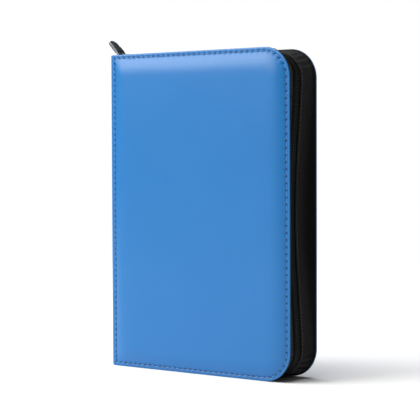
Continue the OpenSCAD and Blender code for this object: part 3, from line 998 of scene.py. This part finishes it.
def make_slider():
    """Slider body: two plates, the wedge between the coils, the back flange and a ridge on the crown."""
    half, length = 4.4, SLIDER_L
    shape = rounded([(0, -1.6), (1.8, -half), (length * 0.5, -half), (length - 0.8, -half + 1.1),
                     (length, -1.2), (length, 1.2), (length - 0.8, half - 1.1), (length * 0.5, half), (1.8, half),
                     (0, 1.6)], 1.2)
    origin = (SLIDER_X, ZIP_Y, 0)
    crown_plate = plate(shape, Z_CROWN, Z_CROWN + 1.0, 0.32)
    sole_plate = plate(shape, Z_SOLE - 1.0, Z_SOLE, 0.3)
    wedge = plate(rounded([(0.4, -0.35), (2.0, -0.6), (3.4, -0.2), (3.4, 0.2), (2.0, 0.6), (0.4, 0.35)], 0.2),
                  Z_SOLE - 0.4, Z_CROWN + 0.4, 0.05)
    flange = plate(rounded_box(2.0, length * 0.45, half - 0.95, half - 0.1, 0.2), Z_SOLE + 1.5, Z_CROWN + 0.3, 0.06)
    ridge = plate(rounded([(1.0, -2.2), (length - 2.4, -1.5), (length - 2.4, 1.5), (1.0, 2.2)], 0.8),
                  Z_CROWN + 0.9, Z_CROWN + 1.12, 0.1)
    parts = [shifted(p, origin) for p in (crown_plate, sole_plate, wedge, flange, ridge)]
    add_piece("slider_shell", joined(parts), "zip_metal", "zip_slider", "zip_metal", "zip_slider_body",
              sharp_deg=35)


def make_bail():
    """Arched bail over the slider."""
    z0, top = bail_low[2], bail_high[2]
    x0, x1 = bail_low[0] + 0.6, bail_high[0] - 0.6
    r = 1.1
    path = [(x0, z0 - 0.3), (x0, top - 0.5 - r)]
    path += [(x0 + r - r * math.cos(a), top - 0.5 - r + r * math.sin(a)) for a in np.linspace(0.3, math.pi / 2, 5)]
    path += [(x1 - r + r * math.sin(a), top - 0.5 - r + r * math.cos(a)) for a in np.linspace(0, math.pi / 2 - 0.3, 5)]
    path += [(x1, top - 0.5 - r), (x1, z0 - 0.3)]
    half_w, half_t = 0.88, 0.48
    section = rounded_box(-half_w, half_w, -half_t, half_t, 0.3, 3)
    rows = [[(x - tz * h, ZIP_Y + w, z + tx * h) for w, h in section]
            for (x, z), (tx, tz) in zip(path, directions(np.array(path)))]
    add_piece("slider_bail_arch", solid_sweep(rows), "zip_metal", "zip_slider", "zip_metal", "zip_slider_bail",
              sharp_deg=45)


def make_pull():
    """Pull tab: a pin under the bail, two arms, a stepped tab with a raised panel on each face and a round end."""
    pin_r, arm_in, half, tip_half, thick = 0.75, 1.2, 4.5, 4.0, 2.3
    window, neck, length = 5.0, 11.0, 17.8
    pin = tube([(0, y, 0) for y in (-half, -half + 0.2, -1.0, 1.0, half - 0.2, half)],
               [pin_r * 0.8, pin_r, pin_r, pin_r, pin_r, pin_r * 0.8], 16, (0, 0, 1))
    arms = [plate(rounded_box(-window - 0.6, 0.55, side * arm_in, side * half, 0.5, 3), -pin_r, pin_r, 0.25)
            for side in (-1, 1)]
    centre = -length + tip_half
    frame_width = 1.3
    end, inner_end = ([(centre - r * math.sin(a), r * math.cos(a)) for a in np.linspace(0, math.pi, count)]
                      for r, count in ((tip_half, 17), (tip_half - frame_width, 13)))
    outline = [(-window, -half), (-window, half), (-neck + 0.7, half), (-neck, tip_half), *end, (-neck, -tip_half),
               (-neck + 0.7, -half)]
    tab = plate(outline, -thick / 2, thick / 2, 0.38)
    raised = [(-window - 1.6, -tip_half + frame_width), (-window - 1.6, tip_half - frame_width), *inner_end]
    panels = [plate(rounded(raised, 0.3, 2), thick / 2 - 0.05, thick / 2 + 0.14, 0.08),
              plate(rounded(raised, 0.3, 2), -thick / 2 - 0.14, -thick / 2 + 0.05, 0.08)]
    parts = [turned(shifted(p, PIN), PIN, PULL_ANGLE) for p in (pin, *arms, tab, *panels)]
    add_piece("pull_tab_metal", joined(parts), "pull_metal", "zip_pull", "pull_metal", "zip_pull_tab",
              sharp_deg=35)


# -------- leaves and binding

def film_outline(x0, x1, z0, z1):
    """Front of one card pocket, with a thumb cut in the middle of its open side."""
    middle, cut = (z0 + z1) / 2, 7.0
    arc = [(x0 + 0.75 * cut * math.sin(a), middle - cut * math.cos(a)) for a in np.linspace(0, math.pi, 13)]
    return rounded_box(x0, x1, z0, z1, 2.0, 4) + arc[::-1]


def flat_sheet(outline, y0, y1):
    """A thin solid from an outline in X and Z, between two places in Y."""
    count = len(outline)
    points = [(x, y, z) for y in sorted((y0, y1)) for x, z in outline]
    faces = [tuple(range(count)), tuple(range(count, 2 * count))[::-1]]
    faces += [(i, (i + 1) % count, count + (i + 1) % count, count + i) for i in range(count)]
    return np.array(points, float), faces


def make_pockets(leaf):
    """Clear pocket fronts on both faces of a leaf, and the welded ribs between them."""
    low, high = box_mm(f"{leaf}_pockets")
    sheet_low, sheet_high = box_mm(f"{leaf}_sheet")
    y = (low[1] + high[1]) / 2
    skin, film = (sheet_high[1] - sheet_low[1]) / 2, 0.12
    width, height, gap = 66.0, 95.0, 2.0
    films, welds = [], []
    for face in (-1, 1):
        y0, y1 = y + face * (skin + 0.06), y + face * (skin + 0.06 + film)
        for column in (0, 1):
            x0 = low[0] + column * (width + gap)
            for row in (0, 1):
                z0 = low[2] + row * (height + gap)
                outline = film_outline(x0 + 0.2, x0 + width - 0.2, z0 + 0.2, z0 + height - 0.2)
                films.append(flat_sheet(outline, y0, y1))
        rib = (y + face * skin, y + face * (skin + 0.3))
        spans = [(low[0] - 1.2, high[0], z - 0.6, z + 0.6) for z in
                 (low[2] - 0.2, low[2] + height + gap / 2, high[2] + 0.2)]
        spans += [(x - 0.6, x + 0.6, low[2] - 0.8, high[2] + 0.8) for x in
                  (low[0] + width + gap / 2, high[0] + 0.4)]
        welds += [flat_sheet(rounded_box(*span, 0.4, 2), *rib) for span in spans]
    add_piece(f"{leaf}_clear_fronts", joined(films), "film", leaf, "clear_pocket", f"{leaf}_pockets")
    add_piece(f"{leaf}_welds", joined(welds), "sheet", leaf, "leaf_sheet")


def make_binding_stitches():
    """Stitches that hold the binding to the spine, in two rows."""
    low, high = box_mm("page_binding_stitching")
    parts = []
    pitch = 4.0
    count = int((high[2] - low[2]) / pitch)
    for y in (low[1] + 0.3, high[1] - 0.3):
        for k in range(count):
            z = low[2] + k * pitch
            t = np.linspace(-1, 1, 5)
            path = [(low[0] + 0.2 * (1 - a ** 4) + 0.06, y + 0.08 * a, z + 2 + 1.7 * a) for a in t]
            parts.append(tube(path, [0.14, 0.24, 0.27, 0.24, 0.14], 6, (1, 0, 0)))
    add_piece("binding_stitches", joined(parts), "black_thread", "spine", "black_thread",
              "page_binding_stitching", sharp_deg=60)


# -------- building

for cover in SIDE_NAMES.items():
    for make in (make_skin, make_padding, make_lining, make_border_seam, make_fold, make_hinge_lining,
                 make_gusset, make_tape, make_coil):
        make(*cover)
for make in (make_spine, make_head_lining, make_slider, make_bail, make_pull, make_binding_stitches):
    make()
for number in range(1, 13):
    make_pockets(f"leaf_{number:02d}")

CAD_LOOKS = {
    "spine_board": "board", "front_cover_board": "board", "back_cover_board": "board",
    "spine_lining": "lining", "page_binding_comb": "binding", "zip_bottom_stop": "zip_metal",
    "zip_lock_spring": "spring", **{f"leaf_{n:02d}_sheet": "sheet" for n in range(1, 13)},
}
for node, look in CAD_LOOKS.items():
    node_mesh = frame["nodes"][node].data
    node_mesh.materials.clear()
    node_mesh.materials.append(MAT[look])


# -------- floor and light

MIDDLE, KEY_AT = (0.08, 0.0, 0.13), (-0.76, -0.94, 0.90)


def make_floor():
    """A round pale floor that ends where it is still as bright as the background."""
    radius, sides = 1250.0, 96
    turns = np.arange(sides) * 2 * math.pi / sides
    points = np.column_stack([X_FORE / 2 + radius * np.cos(turns), radius * np.sin(turns), np.zeros(sides)])
    floor = make_piece("floor", (points, [tuple(range(sides))]), "floor")
    floor.location.z = -0.0002


def add_light(name, kind, power, **settings):
    data = bpy.data.lights.new(name, kind)
    data.energy = power
    for key, value in settings.items():
        setattr(data, key, value)
    light = bpy.data.objects.new(name, data)
    link(light)
    return light


def make_lights():
    """A soft box that faces the binder, and a wide soft light from far overhead."""
    key = add_light("key", "AREA", 25, shape="RECTANGLE", size=1.3, size_y=0.90)
    key.location = KEY_AT
    key.rotation_euler = (Vector(MIDDLE) - Vector(KEY_AT)).to_track_quat("-Z", "Y").to_euler()
    overhead = add_light("overhead", "SUN", 2.8, angle=math.radians(50))
    overhead.rotation_euler = (math.radians(5), math.radians(-10), 0)


def make_world(strength):
    """A white background for the camera, and only a weak fill light from it for everything else."""
    world = bpy.data.worlds.new("studio")
    world.use_nodes = True
    tree = world.node_tree
    background = tree.nodes["Background"]
    background.inputs["Color"].default_value = (1, 1, 1, 1)
    background.inputs["Strength"].default_value = strength
    path = tree.nodes.new("ShaderNodeLightPath")
    level = tree.nodes.new("ShaderNodeMapRange")
    level.inputs["To Min"].default_value, level.inputs["To Max"].default_value = strength, 1.0
    tree.links.new(path.outputs["Is Camera Ray"], level.inputs["Value"])
    tree.links.new(level.outputs["Result"], background.inputs["Strength"])
    bpy.context.scene.world = world


make_floor()
make_world(0.10)
make_lights()
bpy.context.scene.view_settings.view_transform = "Standard"
